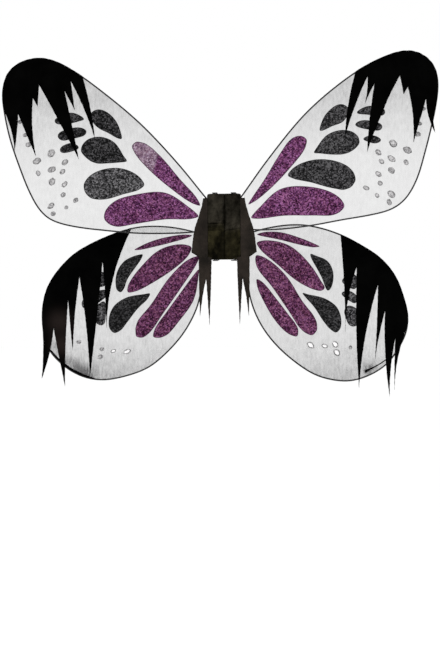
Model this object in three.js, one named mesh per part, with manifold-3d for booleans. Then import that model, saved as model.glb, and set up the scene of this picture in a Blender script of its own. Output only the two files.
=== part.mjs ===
// Costume moth wings: sheer cloth stretched on bent wire, with glitter panels, tattered black
// cloth hung from the rims, a sewn cover in the middle and two elastic arm loops.
// Millimetres. +X is to the right seen from behind, +Y points to the side worn inwards, +Z is up.
// The origin is the middle of the cover's flat inner face.
// A wing is drawn flat by two measures: out, from the middle line, and up, from the origin's height.

import * as THREE from 'three';
import { mergeVertices } from 'three/addons/utils/BufferGeometryUtils.js';
import Module from 'manifold-3d';

// Driving dimensions
const clearance = 0.3;
const wireRadius = 1.3;
const wireSides = 6;
const sheerThickness = 1;
const glitterThickness = 0.6;
const tatterThickness = 1;
const tatterRipple = 6;
const rippleLength = 46;
const rippleFullDrop = 150;
const edgeStep = 16;

// A wing's plane turns at the hinge line, just inside the cover
const hingeOut = 30;
const hingeDepth = -7;
const sheerRoot = 38;

const coverWidth = 66;
const coverTop = 66;
const coverBottom = -61;
const coverThickness = 14;
const coverCorner = 9;
const coverBevel = 2.5;
const seamWidth = 4;

const loopWidth = 10;
const loopThickness = 1.6;
const loopSplay = 2;
const loopSpacing = 18;
const loopSteps = 44;

const degrees = Math.PI / 180;

// Turns rows of values into objects with the named columns
const table = (columns, rows) =>
  rows.map((row) => Object.fromEntries(columns.map((column, i) => [column, row[i]])));

// Finishes
const finish = (color, roughness, metalness, opacity = 1) => ({
  color, roughness, metalness, opacity, transparent: opacity < 1,
});
const finishes = {
  wire: finish(0x2b2a2c, 0.45, 0.6),
  sheer: finish(0xd9d7da, 0.8, 0, 0.3),
  purple: finish(0x6b2f74, 0.4, 0.35),
  charcoal: finish(0x3b3b40, 0.45, 0.3),
  tatters: finish(0x0b0b0c, 0.9, 0),
  cover: finish(0x121113, 0.85, 0),
  elastic: finish(0x161617, 0.9, 0),
};

// Rims, each wire on its own, as they aren't bent quite alike
const rimRows = (rows) => table(['out', 'up'], rows);

// Forewing rim, from the cover along the leading edge, round the tip and back below
const forewingRim = {
  left: rimRows([
    [20, 40],
    [36, 59],
    [90, 125],
    [162, 201],
    [238, 264],
    [283, 296],
    [321, 316],
    [350, 322],
    [378, 317],
    [397, 307],
    [411, 292],
    [419, 270],
    [421, 248],
    [418, 220],
    [408, 171],
    [389, 113],
    [373, 72],
    [355, 38],
    [337, 19],
    [314, 9],
    [276, 1],
    [233, -4],
    [162, -10],
    [62, -8],
    [36, -4],
    [20, -2],
  ]),
  right: rimRows([
    [20, 40],
    [36, 59],
    [90, 126],
    [155, 198],
    [192, 231],
    [239, 265],
    [279, 289],
    [318, 306],
    [356, 316],
    [379, 315],
    [397, 307],
    [412, 293],
    [421, 275],
    [424, 250],
    [420, 218],
    [407, 166],
    [392, 117],
    [375, 69],
    [356, 37],
    [340, 22],
    [320, 12],
    [282, 5],
    [231, 0],
    [170, -7],
    [110, -10],
    [62, -8],
    [36, -4],
    [20, -2],
  ]),
};

// Hindwing rim, from the cover along its top, round the side and back underneath
const hindwingRim = {
  left: rimRows([
    [20, -17],
    [36, -14],
    [62, -6],
    [110, 3],
    [163, 3],
    [194, -4],
    [225, -15],
    [258, -30],
    [287, -47],
    [306, -64],
    [325, -86],
    [341, -113],
    [349, -142],
    [351, -171],
    [348, -204],
    [338, -233],
    [319, -255],
    [299, -271],
    [270, -285],
    [240, -290],
    [214, -288],
    [152, -269],
    [114, -240],
    [76, -196],
    [50, -142],
    [42, -82],
    [36, -57],
    [20, -44],
  ]),
  right: rimRows([
    [20, -17],
    [36, -14],
    [62, -6],
    [110, 3],
    [150, 4],
    [183, -2],
    [222, -15],
    [259, -34],
    [297, -59],
    [325, -92],
    [342, -135],
    [349, -167],
    [346, -197],
    [334, -222],
    [311, -254],
    [277, -276],
    [239, -287],
    [206, -285],
    [172, -275],
    [134, -251],
    [96, -217],
    [68, -179],
    [50, -135],
    [42, -82],
    [36, -57],
    [20, -44],
  ]),
};

// Tattered strips, a row each, from the middle of the wings outwards. A strip ends at its tip, and
// a notch parts it from the next. The bows swell its inner and outer edge, or hollow it if negative.
const strips = (rows) => table(['tipOut', 'tipUp', 'notchOut', 'notchUp', 'innerBow', 'outerBow'], rows);

const forewingTatters = {
  left: {
    start: { out: 268, up: 284 },
    finish: { out: 420, up: 231 },
    strips: strips([
      [247, 170, 292, 279, 3, -3],
      [285, 224, 304, 260, 0, 0],
      [278, 130, 352, 271, 0.5, -1],
      [355, 230, 364, 246, 0, 0],
      [359, 136, 392, 215, -4, 0.5],
      [399, 146, 420, 231, 1, -4],
    ]),
  },
  right: {
    start: { out: 269, up: 283 },
    finish: { out: 413, up: 182 },
    strips: strips([
      [244, 161, 293, 274, 4, -3],
      [285, 220, 305, 258, -2, -1],
      [285, 127, 354, 270, 2, -4],
      [359, 233, 368, 247, 0, 0],
      [373, 138, 400, 220, -4, 0.5],
      [414, 153, 413, 182, 4, 0],
    ]),
  },
};

const hindwingTatters = {
  left: {
    start: { out: 184, up: -2 },
    finish: { out: 351, up: -173 },
    strips: strips([
      [227, -191, 234, -64, -12, -1],
      [260, -284, 279, -92, 1, -3],
      [292, -234, 301, -136, -2, 0.5],
      [308, -303, 329, -190, -2, 0.5],
      [353, -287, 351, -173, 4, -3],
    ]),
  },
  right: {
    start: { out: 215, up: -13 },
    finish: { out: 349, up: -183 },
    strips: strips([
      [231, -196, 253, -76, -2, -6],
      [256, -300, 293, -109, 3, -6],
      [286, -254, 306, -158, -1, -2],
      [314, -317, 325, -209, 4, -3],
      [323, -304, 349, -183, 0.5, -6],
    ]),
  },
};

// Glitter panels, a row each: a leaf along the line from root to end, as wide above and below
// that line as the four sizes say, at these parts of its length
const leafStations = [0.1, 0.35, 0.65, 0.9];
const panels = (rows) => table(['name', 'finish', 'root', 'end', 'above', 'below'], rows);

const forewingPanels = {
  left: panels([
    ['purple_upper', 'purple', [45, 42], [177, 163], [7, 11, 18, 16], [8, 14, 16, 11]],
    ['purple_lower', 'purple', [48, 22], [232, 21], [17, 46, 43, 28], [5, 5, 13, 18]],
    ['charcoal_high', 'charcoal', [195, 169], [256, 218], [7, 19, 23, 17], [4, 7, 12, 7]],
    ['charcoal_middle', 'charcoal', [185, 127], [275, 150], [8, 29, 33, 22], [4, 12, 19, 10]],
    ['charcoal_low', 'charcoal', [152, 82], [270, 78], [18, 33, 33, 20], [9, 16, 25, 21]],
    ['charcoal_tip_high', 'charcoal', [266, 207], [325, 202], [6, 14, 13, 6], [2, 5, 7, 5]],
    ['charcoal_tip_middle', 'charcoal', [262, 183], [318, 173], [8, 12, 11, 8], [6, 8, 9, 8]],
    ['charcoal_tip_low', 'charcoal', [277, 153], [314, 147], [6, 11, 10, 6], [3, 5, 6, 5]],
  ]),
  right: panels([
    ['purple_upper', 'purple', [48, 42], [169, 167], [3, 8, 17, 19], [7, 14, 16, 13]],
    ['purple_lower', 'purple', [52, 16], [236, 27], [17, 49, 46, 26], [4, 4, 11, 15]],
    ['charcoal_high', 'charcoal', [195, 176], [255, 214], [7, 18, 22, 18], [4, 7, 13, 6]],
    ['charcoal_middle', 'charcoal', [181, 134], [272, 151], [9, 27, 30, 20], [3, 12, 18, 11]],
    ['charcoal_low', 'charcoal', [128, 94], [260, 77], [18, 33, 34, 21], [6, 11, 20, 21]],
    ['charcoal_tip_high', 'charcoal', [267, 205], [323, 200], [6, 13, 14, 10], [2, 3, 5, 5]],
    ['charcoal_tip_middle', 'charcoal', [263, 182], [316, 173], [7, 11, 10, 7], [3, 6, 7, 7]],
    ['charcoal_tip_low', 'charcoal', [277, 153], [312, 148], [4, 8, 8, 4], [2, 5, 7, 4]],
  ]),
};

const hindwingPanels = {
  left: panels([
    ['purple_top', 'purple', [60, -14], [175, -42], [5, 9, 9, 4], [2, 3, 3, 2]],
    ['purple_broad', 'purple', [62, -36], [189, -122], [17, 31, 25, 12], [10, 15, 14, 9]],
    ['purple_long', 'purple', [47, -53], [168, -212], [14, 22, 19, 19], [5, 8, 10, 11]],
    ['purple_inner', 'purple', [49, -78], [138, -210], [2, 4, 6, 7], [9, 25, 24, 18]],
    ['charcoal_upper', 'charcoal', [156, -49], [204, -124], [10, 24, 24, 12], [2, 1, 0, 5]],
    ['charcoal_lower', 'charcoal', [142, -124], [218, -200], [8, 27, 33, 19], [4, 3, 7, 9]],
    ['charcoal_side_high', 'charcoal', [224, -92], [256, -104], [9, 16, 16, 9], [9, 14, 13, 7]],
    ['charcoal_side_middle', 'charcoal', [221, -119], [275, -148], [6, 11, 12, 9], [5, 9, 11, 12]],
    ['charcoal_side_low', 'charcoal', [232, -138], [240, -186], [6, 17, 20, 9], [4, 7, 8, 8]],
  ]),
  right: panels([
    ['purple_top', 'purple', [61, -13], [185, -38], [7, 13, 10, 4], [1, 1, 3, 3]],
    ['purple_broad', 'purple', [61, -28], [194, -119], [16, 31, 25, 9], [7, 11, 16, 10]],
    ['purple_long', 'purple', [60, -51], [173, -202], [13, 23, 19, 18], [12, 11, 13, 14]],
    ['purple_inner', 'purple', [61, -95], [141, -204], [6, 8, 9, 9], [8, 15, 18, 12]],
    ['charcoal_upper', 'charcoal', [164, -49], [199, -121], [7, 24, 24, 12], [2, 1, 0, 2]],
    ['charcoal_lower', 'charcoal', [148, -122], [217, -198], [6, 24, 31, 18], [1, 1, 6, 6]],
    ['charcoal_side_high', 'charcoal', [224, -102], [254, -110], [9, 17, 19, 13], [2, 6, 8, 8]],
    ['charcoal_side_middle', 'charcoal', [223, -125], [255, -136], [6, 10, 9, 5], [2, 6, 8, 9]],
    ['charcoal_side_low', 'charcoal', [228, -160], [263, -168], [14, 15, 12, 7], [5, 19, 22, 14]],
  ]),
};

const patterns = {
  forewing: { rim: forewingRim, tatters: forewingTatters, panels: forewingPanels },
  hindwing: { rim: hindwingRim, tatters: hindwingTatters, panels: hindwingPanels },
};

// How each wing is set: sweep leans it back, lift turns it up in its own plane, and tall is its
// height as a share of the drawn one
const wings = table(['pattern', 'hand', 'sweep', 'lift', 'tall'], [
  ['forewing', 'left', 10, 0, 1],
  ['forewing', 'right', 10, 2.9, 0.97],
  ['hindwing', 'left', 1.5, 0, 1],
  ['hindwing', 'right', 1.5, 0, 1.025],
]).map((row) => ({
  ...row,
  name: `${row.pattern}_${row.hand}`,
  side: row.hand === 'left' ? -1 : 1,
}));

// Cloth beside the cover: its outer edge downwards, two strips, and its inner edge up to the cover
const centreTatterEdge = table(['out', 'up'], [
  [41, 57],
  [44, 41],
  [50, 21],
  [57, 1],
  [61, -20],
  [64, -47],
  [50, -56],
  [50, -100],
  [48.5, -169],
  [43, -130],
  [36, -97],
  [33, -140],
  [30, -187],
  [27, -120],
  [25, -63],
]);
const centreTatterRoot = 35.3;
const centreTatterDepth = -5.6;
const centreDropStart = -56;

// An arm loop's middle line in its own upright plane: forward from the cover's inner face, and up.
// Its ends lie on the cover's top edge and under its bottom edge.
const loopLine = table(['forward', 'up'], [
  [-10, 67.2],
  [1, 67.3],
  [32, 66.6],
  [86, 65],
  [150, 55],
  [181, 32],
  [190, 1],
  [181, -30],
  [150, -51.5],
  [86, -57.5],
  [32, -60.5],
  [1, -62.3],
  [-10, -62.2],
]);

const wasm = await Module();
wasm.setup();

// A closed geometry as a solid that can be joined and cut
function toSolid(geometry) {
  const bare = geometry.index ? geometry.toNonIndexed() : geometry.clone();
  bare.deleteAttribute('normal');
  bare.deleteAttribute('uv');
  const merged = mergeVertices(bare, 1e-4);
  const vertProperties = new Float32Array(merged.attributes.position.array);
  const triVerts = new Uint32Array(merged.index.array);
  return new wasm.Manifold(new wasm.Mesh({ numProp: 3, vertProperties, triVerts }));
}

function toGeometry(solid) {
  const { vertProperties, triVerts } = solid.getMesh();
  const geometry = new THREE.BufferGeometry();
  geometry.setAttribute('position', new THREE.BufferAttribute(vertProperties, 3));
  geometry.setIndex(new THREE.BufferAttribute(triVerts, 1));
  geometry.computeVertexNormals();
  return geometry;
}

function makeMesh(name, geometry, finishName) {
  const mesh = new THREE.Mesh(geometry, new THREE.MeshStandardMaterial(finishes[finishName]));
  mesh.name = name;
  return mesh;
}

// A flat outline of {out, up} points as a plate, whose outer face lies at the given depth
function plate(outline, side, depth, thickness) {
  const shape = new THREE.Shape(outline.map((p) => new THREE.Vector2(side * p.out, p.up)));
  const geometry = new THREE.ExtrudeGeometry(shape, { depth: thickness, bevelEnabled: false });
  geometry.rotateX(Math.PI / 2);
  geometry.translate(0, depth + thickness, 0);
  return geometry;
}

function circle(radius, sides) {
  const points = [];
  for (let i = 0; i < sides; i += 1) {
    const angle = (2 * Math.PI * i) / sides;
    points.push(new THREE.Vector2(radius * Math.cos(angle), radius * Math.sin(angle)));
  }
  return new THREE.Shape(points);
}

function tube(path, radius, steps) {
  return new THREE.ExtrudeGeometry(circle(radius, wireSides), { steps, extrudePath: path });
}

// The rim as a smooth curve in the wing's plane, on the given side, with both ends made longer
function rimCurve(rim, side, extra = 0) {
  const points = rim.map((row) => new THREE.Vector3(side * row.out, 0, row.up));
  for (const [end, next] of [[points[0], points[1]], [points.at(-1), points.at(-2)]]) {
    end.addScaledVector(end.clone().sub(next).normalize(), extra);
  }
  return new THREE.CatmullRomCurve3(points, false, 'centripetal');
}

const rimSteps = (curve) => Math.round(curve.getLength() / edgeStep);

// Evenly spaced points along a rim, moved outwards by the offset
function rimPoints(rim, offset) {
  const curve = rimCurve(rim, 1);
  const count = rimSteps(curve);
  return curve.getSpacedPoints(count).map((point, i) => {
    const tangent = curve.getTangentAt(i / count);
    return { out: point.x - tangent.z * offset, up: point.z + tangent.x * offset };
  });
}

const distance = (a, b) => Math.hypot(a.out - b.out, a.up - b.up);

function nearestIndex(points, target) {
  const distances = points.map((point) => distance(point, target));
  return distances.indexOf(Math.min(...distances));
}

// Points after the first along an edge from a to b, whose middle is moved outwards by bow
function bowedEdge(a, b, bow) {
  const middle = new THREE.Vector2((a.out + b.out) / 2 + 2 * bow, (a.up + b.up) / 2);
  const from = new THREE.Vector2(a.out, a.up);
  const to = new THREE.Vector2(b.out, b.up);
  const count = Math.max(2, Math.round(distance(a, b) / edgeStep));
  const curve = new THREE.QuadraticBezierCurve(from, middle, to);
  return curve.getPoints(count).slice(1).map((point) => ({ out: point.x, up: point.y }));
}

// Tattered cloth: its top follows the rim over the wire, its lower edge runs from strip to strip
function tatterOutline(rim, tatters) {
  const points = rimPoints(rim, wireRadius);
  const first = nearestIndex(points, tatters.start);
  const last = nearestIndex(points, tatters.finish);
  const top = points.slice(first, last + 1);
  const ragged = [];
  let from = top[0];
  tatters.strips.forEach((strip, i) => {
    const tip = { out: strip.tipOut, up: strip.tipUp };
    const isLast = i === tatters.strips.length - 1;
    const notch = isLast ? top[top.length - 1] : { out: strip.notchOut, up: strip.notchUp };
    ragged.push(...bowedEdge(from, tip, -strip.innerBow));
    ragged.push(...bowedEdge(tip, notch, strip.outerBow));
    from = notch;
  });
  return { top, outline: [...top, ...ragged.slice(0, -1).reverse()] };
}

// How high the top edge is above a place on the cloth
function topAbove(top, out) {
  const ordered = [...top].sort((a, b) => a.out - b.out);
  const next = ordered.findIndex((point) => point.out >= out);
  return next < 0 ? ordered[ordered.length - 1].up : ordered[next].up;
}

// Pushes cloth outwards in soft folds that deepen down its hanging length
function ripple(geometry, side, dropAt) {
  const position = geometry.attributes.position;
  for (let i = 0; i < position.count; i += 1) {
    const out = side * position.getX(i);
    const drop = Math.max(0, dropAt(out, position.getZ(i)));
    const share = Math.min(1, drop / rippleFullDrop);
    const fold = 0.5 + 0.5 * Math.sin((2 * Math.PI * out) / rippleLength);
    position.setY(i, position.getY(i) - tatterRipple * share * fold);
  }
  geometry.computeVertexNormals();
  return geometry;
}

// A glitter panel's outline: a closed curve through its ends and its widths
function leafOutline(panel) {
  const root = new THREE.Vector2(...panel.root);
  const along = new THREE.Vector2(...panel.end).sub(root);
  const across = new THREE.Vector2(-along.y, along.x).normalize();
  const at = (station, width) => {
    const point = root.clone().addScaledVector(along, station).addScaledVector(across, width);
    return new THREE.Vector3(point.x, point.y, 0);
  };
  const above = leafStations.map((station, i) => at(station, panel.above[i]));
  const below = leafStations.map((station, i) => at(station, -panel.below[i]));
  const handles = [at(0, 0), ...above, at(1, 0), ...below.reverse()];
  const curve = new THREE.CatmullRomCurve3(handles, true, 'centripetal');
  const count = Math.max(16, Math.round(curve.getLength() / edgeStep));
  return curve.getSpacedPoints(count).slice(0, -1).map((point) => ({ out: point.x, up: point.y }));
}

// Wires, sheer cloth, glitter panels and tatters of one wing
const sheerDepth = -sheerThickness / 2;
const glitterDepth = sheerDepth - clearance - glitterThickness;
const tatterDepth = Math.min(glitterDepth, -wireRadius) - clearance - tatterThickness;

function wingMeshes(wing) {
  const { tatters, panels: wingPanels } = patterns[wing.pattern];
  const { name, side, hand } = wing;
  const rim = patterns[wing.pattern].rim[hand];
  const curve = rimCurve(rim, side);
  const wire = tube(curve, wireRadius, rimSteps(curve));

  const inside = rimPoints(rim, -wireRadius - clearance);
  const sheer = plate(inside.filter((p) => p.out > sheerRoot), side, sheerDepth, sheerThickness);

  const { top, outline } = tatterOutline(rim, tatters[hand]);
  const cloth = plate(outline, side, tatterDepth, tatterThickness);
  ripple(cloth, side, (out, up) => topAbove(top, out) - up);

  const glitter = wingPanels[hand].map((panel) => {
    const leaf = plate(leafOutline(panel), side, glitterDepth, glitterThickness);
    return makeMesh(`${name}_${panel.name}`, leaf, panel.finish);
  });
  return [
    makeMesh(`${name}_wire`, wire, 'wire'),
    makeMesh(`${name}_sheer`, sheer, 'sheer'),
    ...glitter,
    makeMesh(`${name}_tatters`, cloth, 'tatters'),
  ];
}

// A wing's place: it swings back at the hinge line and lifts about the middle of the cover
function wingPlace(wing) {
  const swing = new THREE.Group();
  swing.position.set(wing.side * hingeOut, hingeDepth, 0);
  swing.rotation.z = -wing.side * wing.sweep * degrees;
  const lift = new THREE.Group();
  lift.position.x = -wing.side * hingeOut;
  lift.rotation.y = -wing.side * wing.lift * degrees;
  lift.scale.z = wing.tall;
  swing.add(lift);
  return { swing, lift };
}

// Cover: a flat cushion with a seam down its outer face and sockets where the wires run in
function roundedRectangle(width, low, high, corner) {
  const half = width / 2;
  const shape = new THREE.Shape();
  shape.moveTo(half - corner, low);
  shape.absarc(half - corner, low + corner, corner, -Math.PI / 2, 0);
  shape.absarc(half - corner, high - corner, corner, 0, Math.PI / 2);
  shape.absarc(-half + corner, high - corner, corner, Math.PI / 2, Math.PI);
  shape.absarc(-half + corner, low + corner, corner, Math.PI, 1.5 * Math.PI);
  return shape;
}

function coverGeometry(places) {
  const outline = roundedRectangle(
    coverWidth - 2 * coverBevel, coverBottom + coverBevel, coverTop - coverBevel, coverCorner);
  const cushion = new THREE.ExtrudeGeometry(outline, {
    depth: coverThickness - 2 * coverBevel,
    bevelThickness: coverBevel,
    bevelSize: coverBevel,
    bevelSegments: 2,
    curveSegments: 4,
  });
  cushion.rotateX(Math.PI / 2);
  cushion.translate(0, -coverBevel, 0);

  const seam = new THREE.BoxGeometry(seamWidth / Math.SQRT2, seamWidth / Math.SQRT2, 300);
  seam.rotateZ(Math.PI / 4);
  seam.translate(0, -coverThickness, 0);

  let solid = toSolid(cushion).subtract(toSolid(seam));
  for (const { wing, lift } of places) {
    const curve = rimCurve(patterns[wing.pattern].rim[wing.hand], wing.side, clearance);
    const socket = tube(curve, wireRadius + clearance, rimSteps(curve));
    socket.applyMatrix4(lift.matrixWorld);
    solid = solid.subtract(toSolid(socket));
  }
  return toGeometry(solid);
}

// Cloth beside the cover, in the forewings' plane and in front of their glitter
function centreTatters(side) {
  const outline = [
    { out: centreTatterRoot, up: centreTatterEdge[0].up },
    ...centreTatterEdge,
    { out: centreTatterRoot, up: coverBottom - 2 * clearance },
  ];
  const cloth = plate(outline, side, centreTatterDepth, tatterThickness);
  return ripple(cloth, side, (out, up) => centreDropStart - up);
}

// Arm loop: a flat elastic band, splayed a little outwards
function armLoop(side) {
  const curve = new THREE.CatmullRomCurve3(
    loopLine.map((row) => new THREE.Vector3(row.forward, row.up, 0)), false, 'centripetal');
  const edge = (offset) => curve.getSpacedPoints(loopSteps).map((point, i) => {
    const tangent = curve.getTangentAt(i / loopSteps);
    return new THREE.Vector2(point.x - tangent.y * offset, point.y + tangent.x * offset);
  });
  const outline = [...edge(loopThickness / 2), ...edge(-loopThickness / 2).reverse()];
  const band = new THREE.ExtrudeGeometry(new THREE.Shape(outline), {
    depth: loopWidth,
    bevelEnabled: false,
  });
  const [right, forward, up] = [[1, 0, 0], [0, 1, 0], [0, 0, 1]].map((v) => new THREE.Vector3(...v));
  band.translate(0, 0, -loopWidth / 2);
  band.applyMatrix4(new THREE.Matrix4().makeBasis(forward, up, right));
  band.rotateZ(-side * loopSplay * degrees);
  band.translate(side * loopSpacing, 0, 0);
  return toGeometry(toSolid(band));
}

const mothWings = new THREE.Group();
const places = wings.map((wing) => ({ wing, ...wingPlace(wing) }));
for (const { wing, swing, lift } of places) {
  lift.add(...wingMeshes(wing));
  mothWings.add(swing);
}
mothWings.updateMatrixWorld(true);
mothWings.add(makeMesh('centre_cover', coverGeometry(places), 'cover'));

for (const { wing, swing } of places.filter((place) => place.wing.pattern === 'forewing')) {
  const cloth = makeMesh(`centre_tatters_${wing.hand}`, centreTatters(wing.side), 'tatters');
  cloth.position.x = -wing.side * hingeOut;
  swing.add(cloth);
  mothWings.add(makeMesh(`arm_loop_${wing.hand}`, armLoop(wing.side), 'elastic'));
}

export default mothWings;
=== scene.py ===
import math
import random

import bmesh
import bpy
from mathutils import Matrix, Vector, geometry, noise
from mathutils.bvhtree import BVHTree
from mathutils.kdtree import KDTree


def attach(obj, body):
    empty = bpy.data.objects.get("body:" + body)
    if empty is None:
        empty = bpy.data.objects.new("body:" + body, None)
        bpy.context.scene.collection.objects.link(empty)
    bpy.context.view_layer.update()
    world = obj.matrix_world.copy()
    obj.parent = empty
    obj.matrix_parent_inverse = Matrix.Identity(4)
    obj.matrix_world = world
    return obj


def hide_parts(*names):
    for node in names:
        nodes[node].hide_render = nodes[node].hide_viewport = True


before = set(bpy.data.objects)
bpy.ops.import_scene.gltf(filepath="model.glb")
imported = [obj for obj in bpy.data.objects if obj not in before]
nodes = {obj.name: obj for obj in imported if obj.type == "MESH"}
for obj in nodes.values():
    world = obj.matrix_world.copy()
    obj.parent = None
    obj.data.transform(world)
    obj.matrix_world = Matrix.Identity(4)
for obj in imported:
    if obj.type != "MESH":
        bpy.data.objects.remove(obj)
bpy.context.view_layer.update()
print("frame loaded:", len(nodes), "nodes")

# Camera, floor and light

camera = {
    "yaw": math.radians(3.5),
    "roll": math.radians(-0.36),
    "aimX": -0.0098,
    "aimZ": -0.1996,
    "distance": 3.5,
    "sensor": 36,
    "lens": 98.75,
    "farthest": 200,
}
stage = {
    "floorHeight": -1.05,
    "floorSize": 90,
    "floorDark": (0.93, 0.93, 0.93, 1),
    "floorLight": (0.95, 0.95, 0.95, 1),
    "floorRoughness": 0.8,
    "sky": 0.45,
    "sun": 2.6,
    "sunWay": (0.35, 0.6, -0.95),
    "sunSpread": math.radians(35),
    "aim": (0, 0, -0.05),
    # Soft lamps, a row each: place, size, power
    "lamps": {
        "fill": ((1.9, -2.2, 0.5), 1.2, 14),
        "inner": ((-0.8, 2.6, 1.2), 1.6, 45),
    },
}


def addObject(name, data):
    item = bpy.data.objects.new(name, data)
    bpy.context.scene.collection.objects.link(item)
    return item


def makeCamera(values):
    data = bpy.data.cameras.new("camera")
    data.sensor_fit = "VERTICAL"
    data.sensor_height = values["sensor"]
    data.lens = values["lens"]
    data.clip_end = values["farthest"]
    item = addObject("camera", data)
    yaw, reach = values["yaw"], values["distance"]
    item.location = (
        values["aimX"] * math.cos(yaw) + reach * math.sin(yaw),
        values["aimX"] * math.sin(yaw) - reach * math.cos(yaw),
        values["aimZ"],
    )
    level = Matrix.Rotation(yaw, 4, "Z") @ Matrix.Rotation(math.pi / 2, 4, "X")
    item.rotation_euler = (level @ Matrix.Rotation(values["roll"], 4, "Z")).to_euler()
    bpy.context.scene.camera = item


def makeLamp(name, place, target, size, power):
    data = bpy.data.lights.new(name, "AREA")
    data.shape = "DISK"
    data.size = size
    data.energy = power
    item = addObject(name, data)
    item.location = place
    item.rotation_euler = (Vector(target) - Vector(place)).to_track_quat("-Z", "Y").to_euler()


# Shader helpers, and the values that the finishes share

# Most values of a noise texture lie in this range
noiseRange = (0.3, 0.7)
glitterLook = {
    "grains": 980,
    "specular": 0.06,
    "patchScale": 40,
    "patchDepth": 0.09,
    "flakeShare": 0.75,
    "grainShare": 0.25,
    "middleFrom": (0.1, 0.5),
    "lightFrom": (0.5, 0.92),
    "hues": (0.465, 0.525),
    "tilt": 0.7,
    "roughness": (0.22, 0.6),
}
clothLook = {
    "roughness": 0.92,
    "waveScale": 0.314,
    "waveBend": 0.4,
    "threadShade": 0.35,
    "bump": 0.0002,
    "bumpStrength": 0.6,
}
paintLook = {"scale": 300, "spread": 0.2, "bump": 0.0002, "bumpStrength": 0.5}
sheerLook = {
    "roughness": 0.7,
    "scale": 60,
    "dark": (0.035, 0.035, 0.038, 1),
    "light": (0.07, 0.068, 0.07, 1),
    "streak": (1, 1, 0.3),
    "streakScale": 260,
    "threads": 900,
    "uneven": (0.84, 1.16),
    "cloudy": (0.88, 1.12),
    "thread": (0.72, 1.18),
}


def add(tree, kind, inputs=None, **settings):
    node = tree.nodes.new("ShaderNode" + kind)
    for key, value in settings.items():
        setattr(node, key, value)
    for key, value in (inputs or {}).items():
        if isinstance(value, bpy.types.NodeSocket):
            tree.links.new(value, node.inputs[key])
        else:
            node.inputs[key].default_value = value
    return node


def calc(tree, operation, a, b):
    return add(tree, "Math", {0: a, 1: b}, operation=operation).outputs[0]


def spread(tree, value, fromLow, fromHigh, toLow, toHigh):
    limits = {0: value, 1: fromLow, 2: fromHigh, 3: toLow, 4: toHigh}
    return add(tree, "MapRange", limits).outputs[0]


def mixColor(tree, factor, a, b, blend="MIX"):
    return add(tree, "Mix", {0: factor, 6: a, 7: b}, data_type="RGBA", blend_type=blend).outputs[2]


def makeGroup(name, inputs, outputs):
    tree = bpy.data.node_groups.new(name, "ShaderNodeTree")
    for label, kind, value in inputs:
        tree.interface.new_socket(label, in_out="INPUT", socket_type=kind).default_value = value
    for label, kind in outputs:
        tree.interface.new_socket(label, in_out="OUTPUT", socket_type=kind)
    return tree, tree.nodes.new("NodeGroupInput"), tree.nodes.new("NodeGroupOutput")


def useGroup(tree, group, inputs):
    return add(tree, "Group", inputs, node_tree=group)


def glitterGroup(look):
    tree, given, put = makeGroup(
        "glitterFlakes",
        [
            ("Flakes", "NodeSocketFloat", 450),
            ("Grains", "NodeSocketFloat", 1000),
            ("Dark", "NodeSocketColor", (0, 0, 0, 1)),
            ("Middle", "NodeSocketColor", (0, 0, 0, 1)),
            ("Light", "NodeSocketColor", (0, 0, 0, 1)),
        ],
        [("Color", "NodeSocketColor"), ("Roughness", "NodeSocketFloat"), ("Normal", "NodeSocketVector")],
    )
    place = add(tree, "TexCoord").outputs["Object"]
    flakes = add(tree, "TexVoronoi", {"Vector": place, "Scale": given.outputs["Flakes"]})
    grains = add(tree, "TexVoronoi", {"Vector": place, "Scale": given.outputs["Grains"]})
    patches = add(tree, "TexNoise", {"Vector": place, "Scale": look["patchScale"], "Detail": 2})
    flake = add(tree, "SeparateColor", {0: flakes.outputs["Color"]}).outputs
    grain = add(tree, "SeparateColor", {0: grains.outputs["Color"]}).outputs
    coarse = calc(tree, "MULTIPLY", flake[0], look["flakeShare"])
    mixed = calc(tree, "ADD", coarse, calc(tree, "MULTIPLY", grain[0], look["grainShare"]))
    patch = spread(tree, patches.outputs[0], *noiseRange, -look["patchDepth"], look["patchDepth"])
    bright = calc(tree, "ADD", mixed, patch)
    middle = spread(tree, bright, *look["middleFrom"], 0, 1)
    light = spread(tree, bright, *look["lightFrom"], 0, 1)
    low = mixColor(tree, middle, given.outputs["Dark"], given.outputs["Middle"])
    even = mixColor(tree, light, low, given.outputs["Light"])
    hue = spread(tree, flake[2], 0, 1, *look["hues"])
    color = add(tree, "HueSaturation", {"Hue": hue, "Color": even}).outputs[0]
    centred = add(tree, "VectorMath", {0: flakes.outputs["Color"], 1: (0.5, 0.5, 0.5)}, operation="SUBTRACT")
    tilt = add(tree, "VectorMath", {0: centred.outputs[0], "Scale": look["tilt"]}, operation="SCALE")
    facing = add(tree, "NewGeometry").outputs["Normal"]
    leaning = add(tree, "VectorMath", {0: tilt.outputs[0], 1: facing}, operation="ADD")
    normal = add(tree, "VectorMath", {0: leaning.outputs[0]}, operation="NORMALIZE")
    tree.links.new(color, put.inputs["Color"])
    tree.links.new(spread(tree, grain[1], 0, 1, *look["roughness"]), put.inputs["Roughness"])
    tree.links.new(normal.outputs[0], put.inputs["Normal"])
    return tree


def weaveGroup(look):
    tree, given, put = makeGroup(
        "clothWeave",
        [("Threads", "NodeSocketFloat", 1000), ("Coordinates", "NodeSocketVector", (0, 0, 0))],
        [("Height", "NodeSocketFloat"), ("Thread", "NodeSocketFloat")],
    )
    scale = calc(tree, "MULTIPLY", given.outputs["Threads"], look["waveScale"])
    bands = []
    for direction in ("X", "Z"):
        inputs = {"Vector": given.outputs["Coordinates"], "Scale": scale, "Distortion": look["waveBend"]}
        bands.append(add(tree, "TexWave", inputs, bands_direction=direction).outputs["Fac"])
    tree.links.new(calc(tree, "ADD", *bands), put.inputs["Height"])
    tree.links.new(calc(tree, "MAXIMUM", *bands), put.inputs["Thread"])
    return tree


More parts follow.
